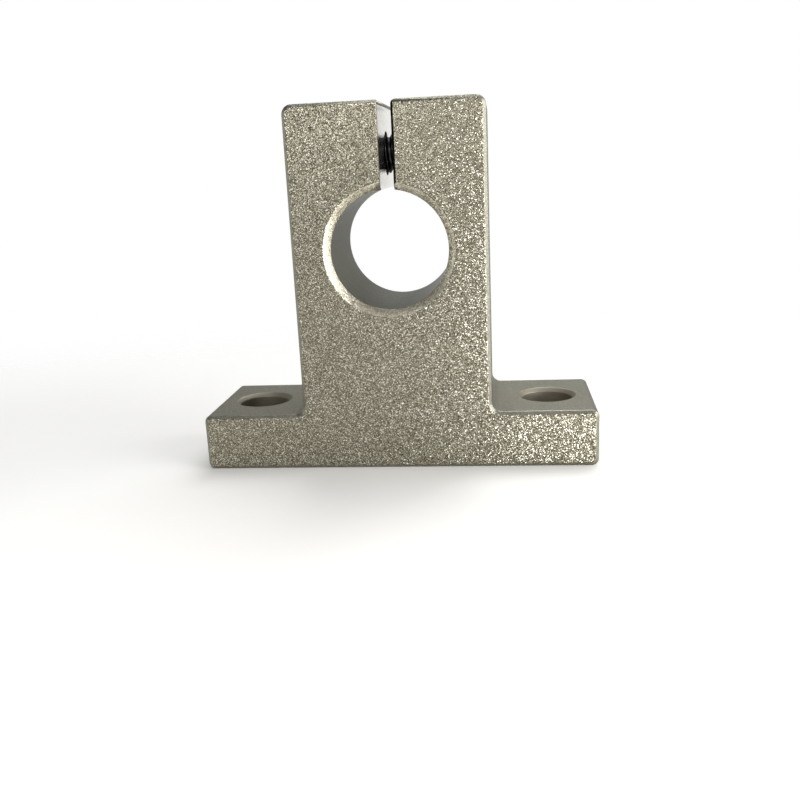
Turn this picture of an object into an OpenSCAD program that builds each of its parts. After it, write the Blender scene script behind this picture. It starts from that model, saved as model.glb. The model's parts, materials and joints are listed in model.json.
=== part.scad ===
// Shaft support block: a split clamp block for a 12 mm round shaft, with its clamp screw.
// The mounting face is at z = 0 with the origin at its centre. X runs along the base,
// Y along the shaft and Z up. All sizes are in millimetres.

/* [Base] */
// Length of the base
base_length = 42; // [40:0.5:60]
// Thickness of the base
base_thickness = 6; // [5:0.5:10]
// Radius of the base's corners
base_corner_r = 0.7; // [0.4:0.1:1.5]
// Width of the block, measured along the shaft
block_width = 14; // [12:0.5:24]

/* [Tower] */
// Width of the tower
tower_width = 20; // [18:0.5:26]
// Height of metal above the bore, which holds the clamp screw
crown_height = 8.5; // [8:0.5:14]
// Radius of the tower's top corners
tower_corner_r = 1; // [0.5:0.1:1.5]
// Radius of the fillet between the tower and the base
fillet_r = 1; // [0.5:0.1:2]
// Size of the chamfer that breaks the edges of the front and back faces
edge_break = 0.35; // [0.15:0.05:0.35]

/* [Shaft bore] */
// Height of the shaft's centre above the mounting face
shaft_height = 23; // [20:0.5:40]
// Diameter of the bore
bore_d = 12; // [8:0.5:13]
// Size of the chamfer at each end of the bore
bore_chamfer = 0.75; // [0.3:0.05:1.2]

/* [Clamp slot] */
// Width of the slot that lets the two jaws close on the shaft
slot_width = 1.6; // [1:0.1:2.5]
// Size of the chamfer along the slot's front and back edges
slot_break = 0.25; // [0.1:0.05:0.5]
// Radius of the slot's two edges at the top of the tower
slot_mouth_r = 0.5; // [0.2:0.1:1]

/* [Mounting holes] */
// Diameter of the two mounting holes
hole_d = 5.5; // [3.5:0.1:6]
// Distance from each end of the base to the centre of its hole
hole_inset = 5; // [4:0.25:6]
// Size of the chamfer round the top of each hole
hole_chamfer = 0.4; // [0.1:0.1:0.8]

/* [Clamp screw] */
// Outer diameter of the screw's thread
thread_d = 4; // [3:0.5:4.5]
// Diameter of the screw's head
head_d = 7; // [5.5:0.1:8]
// Height of the screw's head
head_height = 4; // [3:0.1:5]
// Size of the rounded-off edge at the top of the head
head_edge = 0.4; // [0.1:0.1:0.6]
// Size of the hexagon socket across its flats
socket_flats = 3; // [2:0.5:4]
// Depth of the hexagon socket
socket_depth = 2.2; // [1:0.1:2.5]
// Depth of the screw's axis below the top of the tower
screw_drop = 5; // [4.5:0.1:5.3]
// Depth at which the head seats below the side of the tower
head_sink = 3.2; // [1:0.1:4]
// Distance of the screw's tip inside the far side of the tower
tip_inset = 0.8; // [0:0.1:3]
// Size of the chamfer at the screw's tip
tip_chamfer = 0.5; // [0.2:0.1:0.8]
// Clearance round the head in its counterbore, on the radius
head_clearance = 0.3; // [0.1:0.05:0.5]
// Clearance round the thread in the jaw under the head, on the radius
shank_clearance = 0.25; // [0.1:0.05:0.4]
// Clearance round the thread in the tapped jaw, on the radius
thread_clearance = 0.05; // [0.02:0.01:0.08]
// Size of the countersink where the tapped hole comes out
tap_countersink = 0.35; // [0.1:0.05:0.6]

/* [Hidden] */
$fn = 96;
// How far a cutting shape runs past the surface that it cuts
past = 1;
block_height = shaft_height + bore_d / 2 + crown_height;
face_y = block_width / 2;
tower_side = tower_width / 2;
// The tower's plate starts inside the base, so that the two are one piece
tower_foot = base_thickness / 2;
screw_z = block_height - screw_drop;
seat_x = head_sink - tower_side;
screw_length = tower_width - head_sink - tip_inset;
hole_x = base_length / 2 - hole_inset;

// Section of a bar, as broad as the block is wide, with its four corners broken
module broken_section(span) {
    reach = span / 2;
    polygon([
        [edge_break - reach, -face_y], [reach - edge_break, -face_y],
        [reach, edge_break - face_y], [reach, face_y - edge_break],
        [reach - edge_break, face_y], [edge_break - reach, face_y],
        [-reach, face_y - edge_break], [-reach, edge_break - face_y]
    ]);
}

// A disc with broken edges, lying across the block, for a rounded corner
module broken_disc(r) {
    rotate([90, 0, 0])
        rotate_extrude()
            polygon([
                [0, -face_y], [r - edge_break, -face_y], [r, edge_break - face_y],
                [r, face_y - edge_break], [r - edge_break, face_y], [0, face_y]
            ]);
}

// An upright plate with rounded corners, whose front and back edges are all broken
module broken_plate(length, height, corner_r) {
    inner_length = length - 2 * corner_r;
    inner_height = height - 2 * corner_r;
    translate([0, 0, height / 2]) {
        linear_extrude(inner_height, center = true) broken_section(length);
        rotate([0, 90, 0])
            linear_extrude(inner_length, center = true) broken_section(height);
        for (side = [-1, 1], level = [-1, 1])
            translate([side * inner_length / 2, 0, level * inner_height / 2])
                broken_disc(corner_r);
    }
}

// Cutter along Y that opens into a cone where it meets the front and back faces
module flared_cutter(r, flare) {
    rotate([90, 0, 0])
        rotate_extrude()
            polygon([
                [0, -face_y - past], [r + flare + past, -face_y - past],
                [r, flare - face_y], [r, face_y - flare],
                [r + flare + past, face_y + past], [0, face_y + past]
            ]);
}

// Concave fillet in the corner between the tower's right side and the base
module tower_fillet() {
    // The block that is hollowed out reaches into both plates by this much
    bite = 2 * edge_break;
    difference() {
        translate([tower_side - bite, -face_y, base_thickness - bite])
            cube([fillet_r + bite, block_width, fillet_r + bite]);
        translate([tower_side + fillet_r, 0, base_thickness + fillet_r])
            flared_cutter(fillet_r, edge_break);
    }
}

// Straight slot from the bore up, with its front and back edges broken
module slot_cutter() {
    half = slot_width / 2;
    flare = half + slot_break + past;
    translate([0, 0, shaft_height])
        linear_extrude(block_height - shaft_height + past)
            polygon([
                [-flare, -face_y - past], [flare, -face_y - past],
                [half, slot_break - face_y], [half, face_y - slot_break],
                [flare, face_y + past], [-flare, face_y + past],
                [-half, face_y - slot_break], [-half, slot_break - face_y]
            ]);
}

// Takes off the slot's two upper edges in a quarter round
module slot_mouth_cutter() {
    centre_x = slot_width / 2 + slot_mouth_r;
    mouth_z = block_height - slot_mouth_r;
    difference() {
        translate([-centre_x, -face_y - past, mouth_z])
            cube([2 * centre_x, block_width + 2 * past, slot_mouth_r + past]);
        for (side = [-1, 1])
            translate([side * centre_x, 0, mouth_z])
                rotate([90, 0, 0])
                    cylinder(r = slot_mouth_r, h = block_width + 4 * past, center = true);
    }
}

// Hole for one mounting screw, with its top edge chamfered
module mounting_hole_cutter() {
    chamfer_r = hole_d / 2 + hole_chamfer + past;
    translate([0, 0, -past])
        cylinder(d = hole_d, h = base_thickness + 2 * past);
    translate([0, 0, base_thickness - hole_chamfer])
        cylinder(r1 = hole_d / 2, r2 = chamfer_r, h = hole_chamfer + past);
}

// Counterbore, clearance hole and tapped hole for the clamp screw, along X
module clamp_hole_cutter() {
    tapped_r = thread_d / 2 + thread_clearance;
    clearance_r = thread_d / 2 + shank_clearance;
    translate([0, 0, screw_z])
        rotate([0, 90, 0]) {
            translate([0, 0, -tower_side - past])
                cylinder(r = head_d / 2 + head_clearance, h = head_sink + past);
            translate([0, 0, seat_x - past])
                cylinder(r = clearance_r, h = past - seat_x);
            cylinder(r = tapped_r, h = tower_side + past);
            translate([0, 0, tower_side - tap_countersink])
                cylinder(
                    r1 = tapped_r, r2 = tapped_r + tap_countersink + past,
                    h = tap_countersink + past
                );
        }
}

// The block itself: base, tower and jaws in one piece of aluminium
module support_block() {
    color([0.64, 0.61, 0.54])
        difference() {
            union() {
                broken_plate(base_length, base_thickness, base_corner_r);
                translate([0, 0, tower_foot])
                    broken_plate(tower_width, block_height - tower_foot, tower_corner_r);
                tower_fillet();
                mirror([1, 0, 0]) tower_fillet();
            }
            translate([0, 0, shaft_height]) flared_cutter(bore_d / 2, bore_chamfer);
            slot_cutter();
            slot_mouth_cutter();
            for (side = [-1, 1])
                translate([side * hole_x, 0, 0]) mounting_hole_cutter();
            clamp_hole_cutter();
        }
}

// Socket head cap screw that draws the jaws together: it seats in the left jaw's
// counterbore and threads into the right jaw. Its tip points along X.
module clamp_screw() {
    head_r = head_d / 2;
    thread_r = thread_d / 2;
    color([0.10, 0.10, 0.11])
        translate([seat_x, 0, screw_z])
            rotate([0, 90, 0])
                difference() {
                    rotate_extrude()
                        polygon([
                            [0, -head_height], [head_r - head_edge, -head_height],
                            [head_r, head_edge - head_height], [head_r, 0],
                            [thread_r, 0], [thread_r, screw_length - tip_chamfer],
                            [thread_r - tip_chamfer, screw_length], [0, screw_length]
                        ]);
                    translate([0, 0, -head_height - past])
                        cylinder(
                            d = socket_flats / cos(30), h = socket_depth + past, $fn = 6
                        );
                }
}

support_block();
clamp_screw();
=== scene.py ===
# %% [markdown]
# # A split shaft support block
#
# The object is a small block that holds one end of a 12 mm shaft. It is sawn from an
# extruded aluminium bar, bored and drilled, blasted with fine grit and anodised. A slot
# above the bore leaves two jaws, and a black cap screw across the slot pulls them
# together. It stands on a pale floor in a small studio.
#
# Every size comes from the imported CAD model, so that is loaded first. Blender works in
# metres here, and MM turns a maker's millimetres into them.

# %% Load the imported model
import json
import math

import bmesh
import bpy
from mathutils import Matrix, Quaternion, Vector


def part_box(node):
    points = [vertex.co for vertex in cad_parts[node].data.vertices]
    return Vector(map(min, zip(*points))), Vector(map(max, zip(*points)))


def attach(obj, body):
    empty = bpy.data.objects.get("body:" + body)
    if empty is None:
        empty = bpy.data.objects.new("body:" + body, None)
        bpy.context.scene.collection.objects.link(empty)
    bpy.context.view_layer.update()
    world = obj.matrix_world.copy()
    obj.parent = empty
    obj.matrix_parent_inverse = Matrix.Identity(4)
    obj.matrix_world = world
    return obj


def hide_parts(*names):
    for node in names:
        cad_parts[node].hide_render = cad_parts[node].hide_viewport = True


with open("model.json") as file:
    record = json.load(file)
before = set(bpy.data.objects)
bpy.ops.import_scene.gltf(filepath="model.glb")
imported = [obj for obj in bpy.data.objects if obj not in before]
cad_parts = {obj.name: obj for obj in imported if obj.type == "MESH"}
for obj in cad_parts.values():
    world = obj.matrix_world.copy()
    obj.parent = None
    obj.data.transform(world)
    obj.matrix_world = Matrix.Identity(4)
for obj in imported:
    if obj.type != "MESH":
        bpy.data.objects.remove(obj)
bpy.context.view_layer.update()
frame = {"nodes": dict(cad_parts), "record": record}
MM = 0.001
block_low, block_high = (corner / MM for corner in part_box("support_block"))
screw_low, screw_high = (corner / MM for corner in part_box("clamp_screw"))
print("Block, lowest and highest corner in mm:", block_low, block_high)
print("Screw, lowest and highest corner in mm:", screw_low, screw_high)

# %% [markdown]
# The record's mounts and its joint say where the bore, the two mounting holes and the
# screw's axis are. The block's finishes are told apart by these places further down, so
# they are kept in millimetres, the unit that all the mesh work uses.

# %% Read the bore, the holes and the screw's axis
record = frame["record"]
mounts = {mount["name"]: mount for mount in record["mounts"]}
bore_axis = Vector(mounts["shaft_bore"]["pos_m"]) / MM
bore_r = mounts["shaft_bore"]["dims"]["r_mm"]
hole_x = mounts["mounting_holes"]["dims"]["spacing_x_mm"] / 2
hole_r = mounts["mounting_holes"]["dims"]["hole_r_mm"]
screw_axis = Vector(record["behaviour"]["joints"][0]["pos_m"]) / MM
print("Bore of radius", bore_r, "mm round", bore_axis)
print("Mounting holes of radius", hole_r, "mm at x", -hole_x, "and", hole_x)
print("Screw's axis through", screw_axis)

# %% [markdown]
# The camera comes early, because everything else is judged through it. It is held
# close, a little above the block and to its right, and it looks down by 15 degrees. A
# long lens from far away would flatten the block. From here the bore and the slot show
# their inner left walls, and the flanges show their tops.

# %% Place the camera
camera_data = bpy.data.cameras.new("camera")
camera_data.sensor_width = 36
camera_data.lens = 39.654
camera_data.clip_start = 1 * MM
camera_data.clip_end = 20
camera = bpy.data.objects.new("camera", camera_data)
bpy.context.scene.collection.objects.link(camera)
eye = Vector((10.76, -95.58, 31.47)) * MM
aim = Vector((0.416, -7.0, 7.513)) * MM
held_askew = math.radians(-2.74)
camera.location = eye
camera.rotation_mode = "QUATERNION"
camera.rotation_quaternion = (aim - eye).to_track_quat("-Z", "Y") @ Quaternion((0, 0, 1), held_askew)
bpy.context.scene.camera = camera
print("The camera is", round((aim - eye).length / MM), "mm from the block's front face")

# %% [markdown]
# Three helpers serve all the materials. The first turns a hex colour, as a colour
# picker shows it, into the linear values that a shader works with. The second adds one
# node, sets its properties and its inputs' values, and links its inputs to what they
# read. Inputs that share a name are given by number. The third starts a material.

# %% Helpers for materials
def linear(hex_colour):
    """Turn an sRGB hex colour into a linear RGBA one."""
    channels = [int(hex_colour[i:i + 2], 16) / 255 for i in (1, 3, 5)]
    return [c / 12.92 if c <= 0.04045 else ((c + 0.055) / 1.055) ** 2.4 for c in channels] + [1]


def add_node(tree, kind, inputs=None, links=None, **settings):
    """Add a node, set its properties and input values, and link its inputs."""
    node = tree.nodes.new(kind)
    for name, value in settings.items():
        setattr(node, name, value)
    for socket, value in (inputs or {}).items():
        node.inputs[socket].default_value = value
    for socket, source in (links or {}).items():
        tree.links.new(source, node.inputs[socket])
    return node


def new_material(name):
    """Make an empty material and return it with its node tree."""
    material = bpy.data.materials.new(name)
    material.use_nodes = True
    material.node_tree.nodes.clear()
    return material, material.node_tree


print("Middle grey #808080 in linear light:", [round(value, 3) for value in linear("#808080")])

# %% [markdown]
# Blasting hammers aluminium into tiny facets, and each one leans its own way. Some
# catch the lamp and some stay dark, so the metal looks like dry sand with sparks in it.
# A noise bump would give soft waves, which blur to plain grey at this distance. So each
# cell of a Voronoi texture stands for one facet. Its random colour leans the surface,
# and its red part picks the facet's colour from a ramp. The ramp is wider than the
# metal's own random tone: its near-white end is painted glints, and its dark end is
# painted shade. A slower noise bends the cells' borders a little, because hammered
# metal has no straight ones.
#
# The grit is 0.07 mm, which is a common one for this finish, and the cells are drawn at
# that size. One knock is deeper: a pit on the left jaw, which isn't modelled. Its shade
# is painted into the colour, darkest in its middle, 0.3 mm wide, and fading out at twice
# that width.
#
# The anodic film keeps the metal from turning white where the eye grazes it. The grey
# Specular Tint stands for that.

# %% Blasted metal
GRIT = 0.07 * MM
PIT_PLACE = Vector((-7.14, -7, 35.17)) * MM
PIT_FLOOR_R, PIT_R = 0.16 * MM, 0.32 * MM
PIT_PAINTED_SHADE = 0.4


def blasted(name, lean, roughness, shades):
    """Make a blasted metal from the facets' lean and a ramp of (position, colour) shades. The ramp's
    near-white end is painted glints, its dark end painted shade.
    """
    material, tree = new_material(name)
    place = add_node(tree, "ShaderNodeTexCoord").outputs["Object"]
    drift = add_node(tree, "ShaderNodeTexNoise", {"Scale": 1 / (1.5 * GRIT), "Detail": 0},
                     {"Vector": place})
    bent = add_node(tree, "ShaderNodeVectorMath", {1: (0.5 * GRIT,) * 3},
                    {0: drift.outputs["Color"], 2: place}, operation="MULTIPLY_ADD")
    facets = add_node(tree, "ShaderNodeTexVoronoi", {"Scale": 1 / GRIT}, {"Vector": bent.outputs[0]})
    either_way = add_node(tree, "ShaderNodeVectorMath", {1: (0.5, 0.5, 0.5)},
                          {0: facets.outputs["Color"]}, operation="SUBTRACT")
    leaning = add_node(tree, "ShaderNodeVectorMath", {"Scale": lean}, {0: either_way.outputs[0]},
                       operation="SCALE")
    surface = add_node(tree, "ShaderNodeNewGeometry")
    turned = add_node(tree, "ShaderNodeVectorMath", None,
                      {0: surface.outputs["Normal"], 1: leaning.outputs[0]}, operation="ADD")
    normal = add_node(tree, "ShaderNodeVectorMath", None, {0: turned.outputs[0]}, operation="NORMALIZE")
    pick = add_node(tree, "ShaderNodeSeparateColor", None, {0: facets.outputs["Color"]})
    # The ramp's spread is the metal's random tone plus painted glints and painted shade.
    ramp = add_node(tree, "ShaderNodeValToRGB", None, {0: pick.outputs[0]})
    first, last = ramp.color_ramp.elements
    first.color, last.color = linear(shades[0][1]), linear(shades[-1][1])
    for position, shade in shades[1:-1]:
        ramp.color_ramp.elements.new(position).color = linear(shade)
    # Painted shade of the pit: the colour darkens towards PIT_PLACE.
    from_pit = add_node(tree, "ShaderNodeVectorMath", {1: PIT_PLACE}, {0: place}, operation="DISTANCE")
    outside_painted_pit_shade = add_node(tree, "ShaderNodeMapRange",
                        {"From Min": PIT_FLOOR_R, "From Max": PIT_R, "To Min": PIT_PAINTED_SHADE},
                        {"Value": from_pit.outputs["Value"]})
    colour = add_node(tree, "ShaderNodeVectorMath", None,
                      {0: ramp.outputs[0], "Scale": outside_painted_pit_shade.outputs[0]}, operation="SCALE")
    shader = add_node(tree, "ShaderNodeBsdfPrincipled",
                      {"Metallic": 1, "Roughness": roughness, "Specular Tint": linear("#b0b0b0")},
                      {"Base Color": colour.outputs[0], "Normal": normal.outputs[0]})
    add_node(tree, "ShaderNodeOutputMaterial", None, {"Surface": shader.outputs[0]})
    return material


print("Facets across the block's front:", round((block_high.x - block_low.x) * MM / GRIT))

# %% [markdown]
# Three finishes come from this recipe. The front and back were sawn before they were
# blasted, so their facets are rough and lean far, in shades of khaki. The sides and the
# flange tops kept the smooth skin of the extruded bar, and under the same blast they
# only turned satin. The chamfers were cut by a tool. Their shades are painted lighter
# than the face's, which is painted light, so that a low lamp makes a white crescent of
# the one round the bore.

# %% Make the three blasted finishes
blasted_face = blasted("blasted_anodised_aluminium", 0.55, 0.30,
                       [(0, "#524d40"), (0.55, "#837e6d"), (0.85, "#a49f8c"), (1, "#f1ede0")])
satin_side = blasted("satin_anodised_aluminium", 0.20, 0.42,
                     [(0, "#807e72"), (0.6, "#949285"), (1, "#aaa89b")])
# The chamfer's shades are painted lighter than the face's: painted light for the bore's white crescent.
lightened_chamfer = blasted("chamfered_aluminium_painted_light", 0.35, 0.40,
                      [(0, "#aaa490"), (0.6, "#d0cab6"), (1, "#fff9e8")])
print("Blasted finishes:", [material.name for material in (blasted_face, satin_side, lightened_chamfer)])

# %% [markdown]
# The cut walls are smoother. What they show is the way that the tool went: a reamer
# leaves fine rings round the bore, a drill leaves rings round a hole, and a slitting saw
# leaves long scratches along the slot. One noise makes all of them. A Mapping node
# squeezes it, so that its spots are drawn out along the tool's path, and it gives both
# the bump and the uneven gloss. The screw's black oxide is a thin crust with no
# direction, so there the noise keeps its round spots.

# %% Cut and oxidised metal
UNEVEN_GLOSS = 0.3


def cut_metal(name, colour, grazing, roughness, mark_mm, depth_mm, squeeze):
    """Make a metal with tool marks mark_mm wide, drawn out along the axes with a low squeeze."""
    material, tree = new_material(name)
    place = add_node(tree, "ShaderNodeTexCoord")
    along = add_node(tree, "ShaderNodeMapping", {"Scale": squeeze}, {"Vector": place.outputs["Object"]})
    marks = add_node(tree, "ShaderNodeTexNoise", {"Scale": 1 / (mark_mm * MM)},
                     {"Vector": along.outputs[0]})
    bump = add_node(tree, "ShaderNodeBump", {"Distance": depth_mm * MM}, {"Height": marks.outputs["Fac"]})
    gloss = add_node(tree, "ShaderNodeMapRange",
                     {"To Min": (1 - UNEVEN_GLOSS) * roughness, "To Max": (1 + UNEVEN_GLOSS) * roughness},
                     {"Value": marks.outputs["Fac"]})
    shader = add_node(tree, "ShaderNodeBsdfPrincipled",
                      {"Metallic": 1, "Base Color": linear(colour), "Specular Tint": linear(grazing)},
                      {"Roughness": gloss.outputs[0], "Normal": bump.outputs[0]})
    add_node(tree, "ShaderNodeOutputMaterial", None, {"Surface": shader.outputs[0]})
    return material


round_y, round_z, along_y, no_way = (0.1, 1, 0.1), (0.1, 0.1, 1), (1, 0.08, 1), (1, 1, 1)
reamed_bore = cut_metal("reamed_aluminium", "#9e9d93", "#8c8c8c", 0.30, 0.20, 0.004, round_y)
drilled_hole = cut_metal("drilled_aluminium", "#948e80", "#a0a0a0", 0.60, 0.25, 0.004, round_z)
sawn_slot = cut_metal("sawn_aluminium", "#e2e0d9", "#ffffff", 0.20, 0.12, 0.002, along_y)
# Near black: painted shade on the front edge of the right jaw at the slot.
painted_shade_edge = cut_metal("painted_shade_on_slot_edge", "#24221e", "#808080", 0.45, 0.20, 0.004, no_way)
black_oxide = cut_metal("black_oxide_steel", "#3a3a3c", "#b0b0b0", 0.36, 0.35, 0.003, no_way)
print("Cut finishes:", [m.name for m in (reamed_bore, drilled_hole, sawn_slot, painted_shade_edge, black_oxide)])

# %% [markdown]
# The block's CAD mesh already has the right form: the base, the tower, the bore, the
# slot, the stepped hole for the screw and the concave corners. Building it again would
# only add errors. So its mesh is copied, its loose triangles are merged, and triangles
# that lie in one plane become one face, which a bevel needs.
#
# All mesh work is done in millimetres. Merging and bridging compare small distances,
# and in metres the points of a fine thread look as if they were in one place.

# %% Copy the block's mesh
MERGE = 0.001
block_mesh = bmesh.new()
block_mesh.from_mesh(frame["nodes"]["support_block"].data)
bmesh.ops.scale(block_mesh, verts=block_mesh.verts, vec=(1 / MM,) * 3)
bmesh.ops.remove_doubles(block_mesh, verts=block_mesh.verts, dist=MERGE)
bmesh.ops.dissolve_limit(block_mesh, angle_limit=math.radians(1), verts=block_mesh.verts,
                         edges=block_mesh.edges)
print("The merged block has", len(block_mesh.faces), "faces")

# %% [markdown]
# Each face of the block gets the finish that its tool left. Painting by hand would not
# survive a change of the CAD model. A rule does: it looks at how far the face lies from
# the axis of the bore, of a mounting hole or of the screw, and which way it faces. The
# broken front edge of the right jaw at the slot turns away from the light, and its shade
# is painted on it in near black.
#
# The bands say how far, in millimetres, a finish reaches past the edge it starts from,
# and what is nearer than TOUCH to a plane or a wall lies on it. The slot's half width
# isn't in the record, so it is measured on the mesh.

# %% Sort the faces by finish
FACE, SATIN, CHAMFER, BORE, SLOT, HOLE, SHADED_EDGE = range(7)
TOUCH = 0.02
CHAMFER_BAND, COUNTERBORE_BAND, HOLE_BAND, SLOT_BAND = 0.9, 0.8, 0.5, 0.4
front = block_high.y
head_r = screw_high.y
slot_half = min(abs(vertex.co.x) for vertex in block_mesh.verts if vertex.co.z > screw_axis.z)


def reach(face, centre, axis):
    """Return how far a face's farthest corner is from a line along x (0), y (1) or z (2)."""
    arms = [vertex.co - centre for vertex in face.verts]
    for arm in arms:
        arm[axis] = 0
    return max(arm.length for arm in arms)


def finish_of(face):
    """Say which finish a face of the block has, from its place and the way it faces."""
    sideways, frontways = abs(face.normal.x), abs(face.normal.y)
    widest = max(abs(vertex.co.x) for vertex in face.verts)
    if min(abs(vertex.co.y) for vertex in face.verts) > front - TOUCH:
        return FACE
    if frontways < 0.1 and reach(face, bore_axis, 1) < bore_r + TOUCH:
        return BORE
    if widest > slot_half + TOUCH and reach(face, screw_axis, 0) < head_r + COUNTERBORE_BAND:
        return HOLE
    if any(reach(face, Vector((x, 0, 0)), 2) < hole_r + HOLE_BAND for x in (-hole_x, hole_x)):
        return HOLE
    if widest < slot_half + SLOT_BAND and sideways > 0.5 and frontways > 0.5:
        # The right jaw's front slot edge, facing left and forward, gets painted shade.
        return SHADED_EDGE if face.normal.x < 0 and face.normal.y < 0 else CHAMFER
    if widest < slot_half + TOUCH and sideways > 0.9:
        return SLOT
    if frontways > 0.2 and reach(face, bore_axis, 1) < bore_r + CHAMFER_BAND:
        return CHAMFER
    return SATIN


for face in block_mesh.faces:
    face.material_index = finish_of(face)
print("Slot's half width in mm:", round(slot_half, 3))
print("Faces of each finish:", [sum(face.material_index == finish for face in block_mesh.faces)
                                for finish in (FACE, SATIN, CHAMFER, BORE, SLOT, HOLE, SHADED_EDGE)])

# %% [markdown]
# The CAD model breaks the slot's edges alike on both jaws. On this block the saw cut is
# narrower, and the left jaw's edge is almost sharp. So the points of the left jaw's
# wall and of its broken edge are drawn towards the middle of the slot. Those that lie
# on the bore or its chamfer slide round the bore's axis, so that both stay round. The
# edge break is a quarter of a millimetre wide, and wider at the rounded mouth.

# %% Narrow the slot
LEFT_WALL = -0.55
EDGE_KEPT = 0.25
EDGE_BREAK, MOUTH, BELOW_CROWN = 0.26, 0.55, 0.5
mouth_z = block_high.z - MOUTH
slot_foot_z = bore_axis.z + bore_r - BELOW_CROWN


def in_slot(spot):
    """Say whether a point is in the slot or on the broken corners of its mouth."""
    return abs(spot.x) < slot_half + MOUTH and spot.z > slot_foot_z


moved = 0
for vertex in block_mesh.verts:
    from_wall = vertex.co.x + slot_half
    edge_width = MOUTH if vertex.co.z > mouth_z else EDGE_BREAK
    if in_slot(vertex.co) and -edge_width < from_wall < TOUCH:
        from_bore = math.hypot(vertex.co.x, vertex.co.z - bore_axis.z)
        vertex.co.x = LEFT_WALL + EDGE_KEPT * from_wall
        if from_bore < bore_r + CHAMFER_BAND:
            vertex.co.z = bore_axis.z + math.sqrt(from_bore ** 2 - vertex.co.x ** 2)
        moved += 1
print("Points of the left jaw moved:", moved)

# %% [markdown]
# Blasting and anodising take the sharpness off every edge, and that thin rounding
# catches a line of light. A bevel of 0.07 mm in two steps gives it. It could be a live
# modifier, but the operator also tells which faces it made. Those beside the front and
# back were hit by the grit like the faces they border, so they get the same finish.
# The slot's edges are left out: their corners are broken in the CAD model already, and
# two bevels side by side wouldn't fit on them.

# %% Ease the edges
EASE = 0.07
SHARP_ANGLE, FOLDED_ANGLE = math.radians(25), math.radians(100)
sharp = [edge for edge in block_mesh.edges if edge.calc_face_angle(0) > SHARP_ANGLE
         and not all(in_slot(vertex.co) for vertex in edge.verts)]
eased = bmesh.ops.bevel(block_mesh, geom=sharp, offset=EASE, offset_type="OFFSET", segments=2,
                        profile=0.5, affect="EDGES", clamp_overlap=False, material=-1)["faces"]
for face in eased:
    spot = face.calc_center_median()
    if abs(spot.y) > front - EASE - TOUCH and not in_slot(spot):
        face.material_index = FACE
bmesh.ops.remove_doubles(block_mesh, verts=block_mesh.verts, dist=MERGE)
print("Edges eased:", len(sharp), "and folded edges:",
      sum(edge.calc_face_angle(0) > FOLDED_ANGLE for edge in block_mesh.edges))
print("Open edges of the block:", sum(not edge.is_manifold for edge in block_mesh.edges),
      "and its volume in mm3:", round(block_mesh.calc_volume(signed=True)))

# %% [markdown]
# Every piece ends the same way. Its bmesh is scaled to metres and becomes an object at
# the origin. Its faces are shaded smooth, and it rides on the body it belongs to, so
# that it moves with it. Its material slots hold its finishes.

# %% Finish the block
def finish_piece(name, mesh, finishes, body):
    """Turn a bmesh in millimetres into an object that rides on a body of the model."""
    bmesh.ops.scale(mesh, verts=mesh.verts, vec=(MM,) * 3)
    for face in mesh.faces:
        face.smooth = True
    data = bpy.data.meshes.new(name)
    mesh.to_mesh(data)
    mesh.free()
    for finish in finishes:
        data.materials.append(finish)
    piece = bpy.data.objects.new(name, data)
    bpy.context.scene.collection.objects.link(piece)
    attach(piece, body)
    print(name, "has", len(data.polygons), "faces")
    return piece


block_finishes = [blasted_face, satin_side, lightened_chamfer, reamed_bore, sawn_slot, drilled_hole,
                  painted_shade_edge]
block = finish_piece("block_body", block_mesh, block_finishes, "block")
block.modifiers.new("flat_faces", "WEIGHTED_NORMAL")
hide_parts("support_block")

# %% [markdown]
# The screw is an M4 cap screw, with a head as high as the thread is wide. Its thread has
# a pitch of 0.7 mm and flanks at 60 degrees, cut 5/8 of a sharp thread's height deep.
# That leaves a root a quarter of the pitch wide and a crest an eighth wide. The CAD
# model has a plain pin there, so the screw is modelled anew round the x axis, and moved
# up to its place at the end.

# %% Take the screw's sizes
PITCH = 0.7
THREAD_WIDTH = 4
thread_r = THREAD_WIDTH / 2
flank_depth = 5 / 16 * PITCH * math.tan(math.radians(60))
root_r = thread_r - flank_depth
head_top = screw_low.x
head_seat = head_top + THREAD_WIDTH
tip_end = screw_high.x
print("Thread radii in mm:", round(root_r, 3), "and", thread_r)

# %% [markdown]
# A thread could be faked by rings, but a real one climbs, and its end shows that. So a
# profile of one pitch is spun round the axis while it moves along by a pitch a turn.
# Each turn's last edge meets the next turn's first one, and merging them makes one long
# skin. It is wound too long, and then two cuts across the axis trim it.

# %% Wind the thread
TURN_STEPS = 40


def wind(mesh, profile, start, turns):
    """Wind a profile of (along, radius) points round the x axis, one pitch a turn."""
    points = [mesh.verts.new((start + along, radius, 0)) for along, radius in profile]
    edges = [mesh.edges.new(pair) for pair in zip(points, points[1:])]
    bmesh.ops.spin(mesh, geom=points + edges, cent=(0, 0, 0), axis=(1, 0, 0),
                   angle=turns * math.tau, steps=turns * TURN_STEPS,
                   dvec=(PITCH / TURN_STEPS, 0, 0), use_merge=False)
    bmesh.ops.remove_doubles(mesh, verts=mesh.verts, dist=MERGE)


def cut_across(mesh, at_x, keep):
    """Cut a mesh across the x axis, and keep what is above the cut, below it, or both."""
    bmesh.ops.bisect_plane(mesh, geom=mesh.verts[:] + mesh.edges[:] + mesh.faces[:], dist=MERGE / 10,
                           plane_co=(at_x, 0, 0), plane_no=(1, 0, 0), clear_inner=keep == "above",
                           clear_outer=keep == "below")


def rim_at(mesh, at_x):
    """Return the open edges that lie at one x."""
    return [edge for edge in mesh.edges
            if edge.is_boundary and all(abs(vertex.co.x - at_x) < 2 * MERGE for vertex in edge.verts)]


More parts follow.
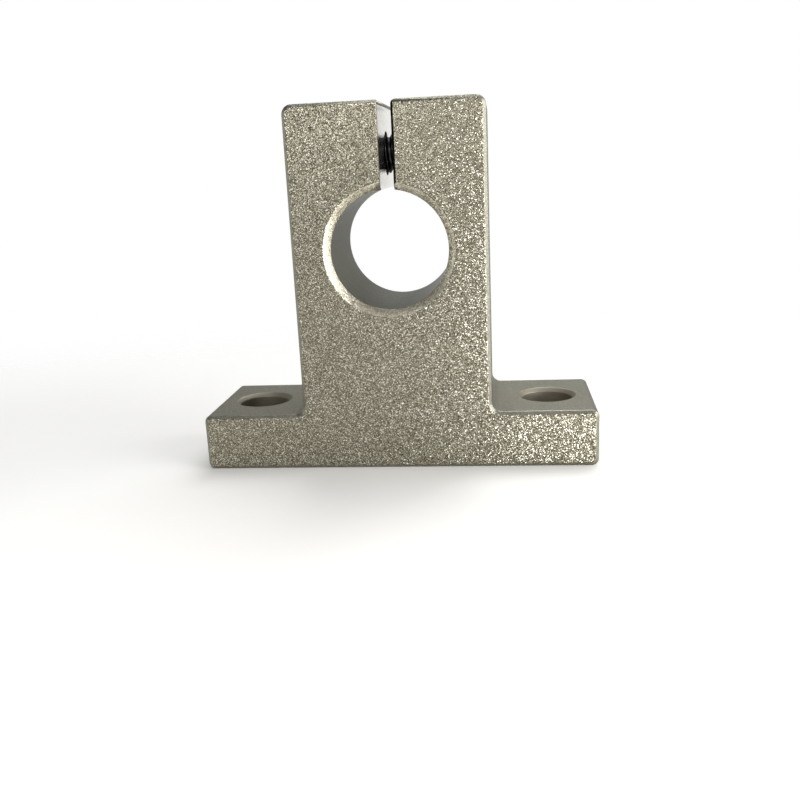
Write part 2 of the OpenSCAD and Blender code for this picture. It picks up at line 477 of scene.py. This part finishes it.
screw_mesh = bmesh.new()
thread_profile = [(0, root_r), (PITCH / 4, root_r), (9 / 16 * PITCH, thread_r),
                  (11 / 16 * PITCH, thread_r), (PITCH, root_r)]
thread_start = head_seat + PITCH
turns_shown = (tip_end - thread_start) / PITCH
wind(screw_mesh, thread_profile, thread_start - PITCH, math.ceil(turns_shown) + 2)
cut_across(screw_mesh, thread_start, "above")
cut_across(screw_mesh, tip_end, "below")
print("The thread has", round(turns_shown, 1), "turns")

# %% [markdown]
# The screw's end is chamfered, so that it finds the tapped hole. A bevel can't follow
# the thread there. Instead the last half millimetre is sliced, and each point that lies
# outside a cone is drawn in onto it. A flat face then closes the end.

# %% Chamfer the screw's end
TIP_CHAMFER = 0.5
TIP_SLICES = 5
for number in range(1, TIP_SLICES + 1):
    cut_across(screw_mesh, tip_end - TIP_CHAMFER * number / TIP_SLICES, "both")
for vertex in screw_mesh.verts:
    radius = math.hypot(vertex.co.y, vertex.co.z)
    cone_r = thread_r - TIP_CHAMFER + tip_end - vertex.co.x
    if radius > cone_r:
        vertex.co.y *= cone_r / radius
        vertex.co.z *= cone_r / radius
bmesh.ops.edgeloop_fill(screw_mesh, edges=rim_at(screw_mesh, tip_end))
print("The end's flat is", 2 * (thread_r - TIP_CHAMFER), "mm wide")

# %% [markdown]
# The head is turned, so rings round the axis describe it: each ring is one step of the
# outline, and bridging neighbours makes the skin. The rings run from the head's seat
# over its rim and top, and down into the 3 mm hexagon socket. The hexagon is a ring
# with six sides, whose edges are divided until it has as many points as the round ones,
# so that they bridge without a twist. A countersink opens the socket: a cone at 45
# degrees. The hexagon's rim is drawn onto it, so that it dips along each flat.

# %% Rings for the head
RING_POINTS = 96
facing_x = Matrix.Rotation(math.radians(90), 4, "Y")


def ring(mesh, radius, at_x, sides=RING_POINTS):
    """Add a ring of RING_POINTS points round the x axis. Fewer sides make a polygon."""
    made = bmesh.ops.create_circle(mesh, segments=sides, radius=radius,
                                   matrix=Matrix.Translation((at_x, 0, 0)) @ facing_x)
    edges = {edge for vertex in made["verts"] for edge in vertex.link_edges}
    if sides < RING_POINTS:
        split = bmesh.ops.subdivide_edges(mesh, edges=list(edges), cuts=RING_POINTS // sides - 1)
        edges = {part for part in split["geom_inner"] + split["geom"]
                 if isinstance(part, bmesh.types.BMEdge)}
    return list(edges)


HEXAGON = 6
ACROSS_FLATS, SOCKET_DEPTH, DRILL_CONE, COUNTERSINK = 3, 2.2, 0.35, 0.12
SEAT_CHAMFER, TOP_ROUNDING = 0.15, 0.4
KNURL_FROM_SEAT, KNURL_FROM_TOP, DRILL_POINT_R = 0.35, 0.6, 0.05
socket_r = ACROSS_FLATS / 2 / math.cos(math.pi / HEXAGON)
socket_floor = head_top + SOCKET_DEPTH + DRILL_CONE
outline = [(head_r - SEAT_CHAMFER, head_seat),
           (head_r, head_seat - SEAT_CHAMFER),
           (head_r, head_seat - KNURL_FROM_SEAT),
           (head_r, head_top + KNURL_FROM_TOP),
           (head_r, head_top + TOP_ROUNDING),
           (head_r - 0.3 * TOP_ROUNDING, head_top + 0.3 * TOP_ROUNDING),
           (head_r - TOP_ROUNDING, head_top),
           (socket_r + COUNTERSINK, head_top),
           (socket_r, head_top + COUNTERSINK, HEXAGON),
           (socket_r, head_top + SOCKET_DEPTH, HEXAGON),
           (DRILL_POINT_R, socket_floor)]
rings = [ring(screw_mesh, *step) for step in outline]
HEXAGON_RIM = 8
for vertex in {vertex for edge in rings[HEXAGON_RIM] for vertex in edge.verts}:
    vertex.co.x = head_top + socket_r + COUNTERSINK - math.hypot(vertex.co.y, vertex.co.z)
print("The head has", len(rings), "rings of", RING_POINTS, "points")

# %% [markdown]
# The head's side is knurled, so that fingers can spin it. On a screw this small the
# knurl is a row of straight grooves. Every second face of the side is inset a little
# and pushed in, which leaves 48 grooves with ribs between them.

# %% Join the rings and cut the knurl
KNURLED_SKIN = 2
GROOVE_INSET, GROOVE_DEPTH = 0.04, 0.1
skins = [bmesh.ops.bridge_loops(screw_mesh, edges=one + two)["faces"]
         for one, two in zip(rings, rings[1:])]
bmesh.ops.edgeloop_fill(screw_mesh, edges=rim_at(screw_mesh, socket_floor))


def angle_of(face):
    """Return a face's angle round the x axis."""
    return math.atan2(face.calc_center_median().z, face.calc_center_median().y)


grooves = sorted(skins[KNURLED_SKIN], key=angle_of)[::2]
bmesh.ops.recalc_face_normals(screw_mesh, faces=[face for skin in skins for face in skin])
bmesh.ops.inset_individual(screw_mesh, faces=grooves, thickness=GROOVE_INSET, depth=-GROOVE_DEPTH,
                           use_even_offset=True)
print("Grooves:", len(grooves))

# %% [markdown]
# A plain neck as thick as the thread's root joins the thread to the head. The thread's
# rim has points at uneven angles, and bridging it to an even ring would twist the skin
# through the axis. So the rim is extruded, and its new points keep their angles and
# only change their distance from the axis. Triangles then fill the flat seat between
# the neck and the head, whatever number of points each side has.

# %% Join the head to the thread
RUN_OUT, NECK_FLARE = 0.25, 0.15
neck_rim = rim_at(screw_mesh, thread_start)
for radius, at_x in ((root_r, thread_start - RUN_OUT), (root_r, head_seat + NECK_FLARE),
                     (root_r + NECK_FLARE, head_seat)):
    grown = bmesh.ops.extrude_edge_only(screw_mesh, edges=neck_rim)["geom"]
    neck_rim = [part for part in grown if isinstance(part, bmesh.types.BMEdge) and part.is_boundary]
    for vertex in {vertex for edge in neck_rim for vertex in edge.verts}:
        stretch = radius / math.hypot(vertex.co.y, vertex.co.z)
        vertex.co = (at_x, vertex.co.y * stretch, vertex.co.z * stretch)
bmesh.ops.triangle_fill(screw_mesh, edges=neck_rim + rings[0], use_beauty=True, normal=(1, 0, 0))
bmesh.ops.recalc_face_normals(screw_mesh, faces=screw_mesh.faces)
print("Open edges of the screw:", sum(not edge.is_manifold for edge in screw_mesh.edges),
      "and its volume in mm3:", round(screw_mesh.calc_volume(signed=True)))

# %% [markdown]
# A black oxide bath colours the steel all over, also in the socket and between the
# threads, so the whole screw has one finish. It rides on the turning body. Smooth
# shading would blur the hexagon and the thread's crest, so every edge at which the
# surface turns by more than 32 degrees stays sharp. The small steps round the thread
# and round the head are smoothed.

# %% Finish the screw
KEPT_SHARP = math.radians(32)
bmesh.ops.translate(screw_mesh, verts=screw_mesh.verts, vec=(0, 0, screw_axis.z))
screw = finish_piece("cap_screw", screw_mesh, [black_oxide], "screw")
screw.data.set_sharp_from_angle(angle=KEPT_SHARP)
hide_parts("clamp_screw")

# %% [markdown]
# The right jaw's hole is tapped. The screw fills it but for its last half millimetre,
# where the thread in the wall is open to view. It is wound like the screw's, with the
# ridge pointing inwards, and rings inside the wall close it behind. It stays outside
# the cone of the screw's end, so that the screw turns past it freely.

# %% Wind the tapped thread
WALL_R, RIDGE_R, BACKING = 2.07, 1.7, 0.1
TAP_TURNS, BESIDE_TIP, PAST_TIP = 4, 0.1, 0.46
tap_start, tap_end = tip_end - BESIDE_TIP, tip_end + PAST_TIP
tap_profile = [(0, WALL_R), (3 / 8 * PITCH, RIDGE_R), (5 / 8 * PITCH, RIDGE_R), (PITCH, WALL_R)]
tap_mesh = bmesh.new()
wind(tap_mesh, tap_profile, tap_start - 1.5 * PITCH, TAP_TURNS)
cut_across(tap_mesh, tap_start, "above")
cut_across(tap_mesh, tap_end, "below")
back_rings = [ring(tap_mesh, WALL_R + BACKING, at_x) for at_x in (tap_start, tap_end)]
bmesh.ops.bridge_loops(tap_mesh, edges=back_rings[0] + back_rings[1])
for at_x in (tap_start, tap_end):
    bmesh.ops.triangle_fill(tap_mesh, edges=rim_at(tap_mesh, at_x), use_beauty=True, normal=(1, 0, 0))
bmesh.ops.recalc_face_normals(tap_mesh, faces=tap_mesh.faces)
print("Open edges of the tapped thread:", sum(not edge.is_manifold for edge in tap_mesh.edges),
      "and its volume in mm3:", round(tap_mesh.calc_volume(signed=True), 1))
bmesh.ops.translate(tap_mesh, verts=tap_mesh.verts, vec=(0, 0, screw_axis.z))
tapped_thread = finish_piece("tapped_thread", tap_mesh, [drilled_hole], "block")
tapped_thread.data.set_sharp_from_angle(angle=KEPT_SHARP)

# %% [markdown]
# The floor is a round sheet of matt white paper under the block. It takes the block's
# shadow, and the metal mirrors it. Round a spot 12 cm in front of the block it fades,
# between 13 and 21 cm out, into the white of the studio, so that no horizon shows. A
# floor that ran on would turn grey where the lamps no longer reach it.

# %% Lay the floor
FLOOR_R = 0.5
FADE_CENTRE, FADE_START, FADE_END = (0, -0.12, 0), 0.13, 0.21
floor_mesh = bmesh.new()
bmesh.ops.create_circle(floor_mesh, segments=96, radius=FLOOR_R, cap_ends=True)
floor_data = bpy.data.meshes.new("floor")
floor_mesh.to_mesh(floor_data)
floor_mesh.free()
floor = bpy.data.objects.new("floor", floor_data)
bpy.context.scene.collection.objects.link(floor)
paper, tree = new_material("matt_white_paper")
place = add_node(tree, "ShaderNodeTexCoord")
away = add_node(tree, "ShaderNodeVectorMath", {1: FADE_CENTRE}, {0: place.outputs["Object"]},
                operation="DISTANCE")
fade = add_node(tree, "ShaderNodeMapRange", {"From Min": FADE_START, "From Max": FADE_END},
                {"Value": away.outputs["Value"]}, interpolation_type="SMOOTHSTEP")
matt = add_node(tree, "ShaderNodeBsdfDiffuse", {"Color": linear("#f4f3f0")})
open_air = add_node(tree, "ShaderNodeBsdfTransparent")
sheet = add_node(tree, "ShaderNodeMixShader", None,
                 {0: fade.outputs[0], 1: matt.outputs[0], 2: open_air.outputs[0]})
add_node(tree, "ShaderNodeOutputMaterial", None, {"Surface": sheet.outputs[0]})
floor_data.materials.append(paper)
print("The floor fades out between", FADE_START / MM, "and", FADE_END / MM, "mm")

# %% [markdown]
# Metal shows its surroundings, so the studio matters as much as the material. Its walls
# are white up to 12 degrees above the horizon, and turn into a grey ceiling by 29
# degrees. The texture gives a direction as a point on a ball of radius 1, so the two
# heights are the sines of those angles. The block's front mirrors the walls and looks
# light. Its upward faces mirror the ceiling and turn dark, which sets the flange tops
# off from the front.

# %% Paint the studio
WALL_TOP, CEILING_EDGE = 0.20, 0.48
studio = bpy.data.worlds.new("studio")
bpy.context.scene.world = studio
studio.use_nodes = True
tree = studio.node_tree
tree.nodes.clear()
look = add_node(tree, "ShaderNodeTexCoord")
height = add_node(tree, "ShaderNodeSeparateXYZ", None, {0: look.outputs["Generated"]})
ceiling = add_node(tree, "ShaderNodeMapRange", {"From Min": WALL_TOP, "From Max": CEILING_EDGE},
                   {"Value": height.outputs["Z"]}, interpolation_type="SMOOTHSTEP")
WALL_INPUT, CEILING_INPUT, COLOUR_OUTPUT = 6, 7, 2
walls = add_node(tree, "ShaderNodeMix", None, {"Factor": ceiling.outputs[0]}, data_type="RGBA")
walls.inputs[WALL_INPUT].default_value = linear("#ffffff")
walls.inputs[CEILING_INPUT].default_value = linear("#707174")
light = add_node(tree, "ShaderNodeBackground", {"Strength": 1}, {"Color": walls.outputs[COLOUR_OUTPUT]})
add_node(tree, "ShaderNodeOutputWorld", None, {"Surface": light.outputs[0]})
print("Nodes that paint the studio:", len(tree.nodes))

# %% [markdown]
# Five soft boxes light it. A window on the right and a key from behind are large and
# far, and they draw the shadows. Three small cards stand close to the front. The front
# one stands low on the right and lights the right end of the base. The low one shines
# up at the bore and whitens the left of its chamfer. The top one keeps the jaws as
# light as the tower. The lamps themselves stay out of every picture.

# %% Set up the lamps
def soft_box(name, place, target, size, power):
    """Add a rectangular lamp at a place, aimed at a target. The camera doesn't see it."""
    lamp = bpy.data.lights.new(name, "AREA")
    lamp.shape = "RECTANGLE"
    lamp.size, lamp.size_y = size
    lamp.energy = power
    stand = bpy.data.objects.new(name, lamp)
    bpy.context.scene.collection.objects.link(stand)
    stand.location = place
    stand.rotation_mode = "QUATERNION"
    stand.rotation_quaternion = (Vector(target) - Vector(place)).to_track_quat("-Z", "Y")
    stand.visible_camera = False


soft_box("right_window", (0.40, -0.05, 0.17), (0, 0, 0.02), (0.50, 0.32), 1.6)
soft_box("back_key", (0.06, 0.20, 0.38), (0, 0, 0.02), (0.30, 0.30), 1.3)
soft_box("front_card", (0.062, -0.055, 0.010), (0.019, -0.007, 0.002), (0.045, 0.02), 0.021)
soft_box("low_card", (0.050, -0.050, 0.002), (-0.004, -0.007, 0.027), (0.035, 0.035), 0.019)
soft_box("top_card", (-0.01, -0.075, 0.075), (0, -0.007, 0.034), (0.05, 0.03), 0.024)
bpy.context.scene.view_settings.view_transform = "Standard"
print("Lamps:", [lamp.name for lamp in bpy.data.lights])
